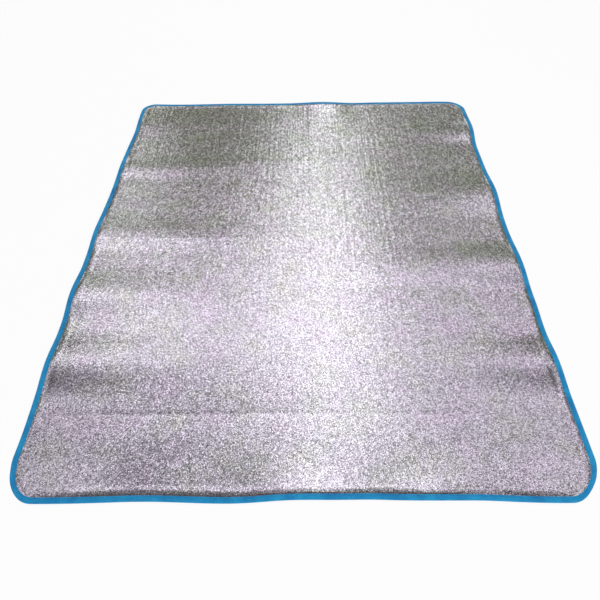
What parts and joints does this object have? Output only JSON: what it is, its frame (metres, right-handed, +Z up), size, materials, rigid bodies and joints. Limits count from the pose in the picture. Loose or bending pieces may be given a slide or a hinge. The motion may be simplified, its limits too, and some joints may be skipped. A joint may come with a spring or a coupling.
{
  "type": "folding ground mat",
  "caption": "Aluminised foam ground mat in a fan of fold panels, edged with a blue woven tape; opens flat, folds to a thin stack.",
  "frame": {"origin": "middle of the open mat, on the ground under it", "axes": "+Y along the mat's length from the front edge to the rear edge, +X across its width, +Z up from the ground"},
  "size_m": [1.5, 2, 0.0027],
  "materials": {
    "foil_top": "vacuum-metallised film with an embossed grain, glossy to satin",
    "foil_base": "the same metallised film, on the ground side",
    "foam": "white expanded polyethylene foam, matt",
    "tape": "woven polyester binding tape with a fine rib",
    "thread": "twisted polyester sewing thread"
  },
  "bodies": {
    "panel_1": {"top_film_1": "foil_top", "foam_core_1": "foam", "base_film_1": "foil_base", "stitching_1": "thread", "front_binding": "tape"},
    "panel_2": {"top_film_2": "foil_top", "foam_core_2": "foam", "base_film_2": "foil_base", "stitching_2": "thread", "side_binding_left_2": "tape", "side_binding_right_2": "tape"},
    "panel_3": {"top_film_3": "foil_top", "foam_core_3": "foam", "base_film_3": "foil_base", "stitching_3": "thread", "side_binding_left_3": "tape", "side_binding_right_3": "tape"},
    "panel_4": {"top_film_4": "foil_top", "foam_core_4": "foam", "base_film_4": "foil_base", "stitching_4": "thread", "side_binding_left_4": "tape", "side_binding_right_4": "tape"},
    "panel_5": {"top_film_5": "foil_top", "foam_core_5": "foam", "base_film_5": "foil_base", "stitching_5": "thread", "side_binding_left_5": "tape", "side_binding_right_5": "tape"},
    "panel_6": {"top_film_6": "foil_top", "foam_core_6": "foam", "base_film_6": "foil_base", "stitching_6": "thread", "side_binding_left_6": "tape", "side_binding_right_6": "tape"},
    "panel_7": {"top_film_7": "foil_top", "foam_core_7": "foam", "base_film_7": "foil_base", "stitching_7": "thread", "side_binding_left_7": "tape", "side_binding_right_7": "tape"},
    "panel_8": {"top_film_8": "foil_top", "foam_core_8": "foam", "base_film_8": "foil_base", "stitching_8": "thread", "rear_binding": "tape"}
  },
  "joints": [
    {"name": "crease_1", "type": "hinge", "parent": "panel_1", "child": "panel_2", "pos_m": [0, -0.75, 0.0082], "axis": [1, 0, 0], "range_deg": [0, 180]},
    {"name": "crease_2", "type": "hinge", "parent": "panel_2", "child": "panel_3", "pos_m": [0, -0.5, -0.0003], "axis": [-1, 0, 0], "range_deg": [0, 180]},
    {"name": "crease_3", "type": "hinge", "parent": "panel_3", "child": "panel_4", "pos_m": [0, -0.25, 0.0082], "axis": [1, 0, 0], "range_deg": [0, 180]},
    {"name": "crease_4", "type": "hinge", "parent": "panel_4", "child": "panel_5", "pos_m": [0, 0, -0.0003], "axis": [-1, 0, 0], "range_deg": [0, 180]},
    {"name": "crease_5", "type": "hinge", "parent": "panel_5", "child": "panel_6", "pos_m": [0, 0.25, 0.0082], "axis": [1, 0, 0], "range_deg": [0, 180]},
    {"name": "crease_6", "type": "hinge", "parent": "panel_6", "child": "panel_7", "pos_m": [0, 0.5, -0.0003], "axis": [-1, 0, 0], "range_deg": [0, 180]},
    {"name": "crease_7", "type": "hinge", "parent": "panel_7", "child": "panel_8", "pos_m": [0, 0.75, 0.0082], "axis": [1, 0, 0], "range_deg": [0, 180]}
  ],
  "couplings": [
    {"joint": "crease_2", "follows": "crease_1", "ratio": 1},
    {"joint": "crease_4", "follows": "crease_3", "ratio": 1},
    {"joint": "crease_6", "follows": "crease_5", "ratio": 1}
  ]
}
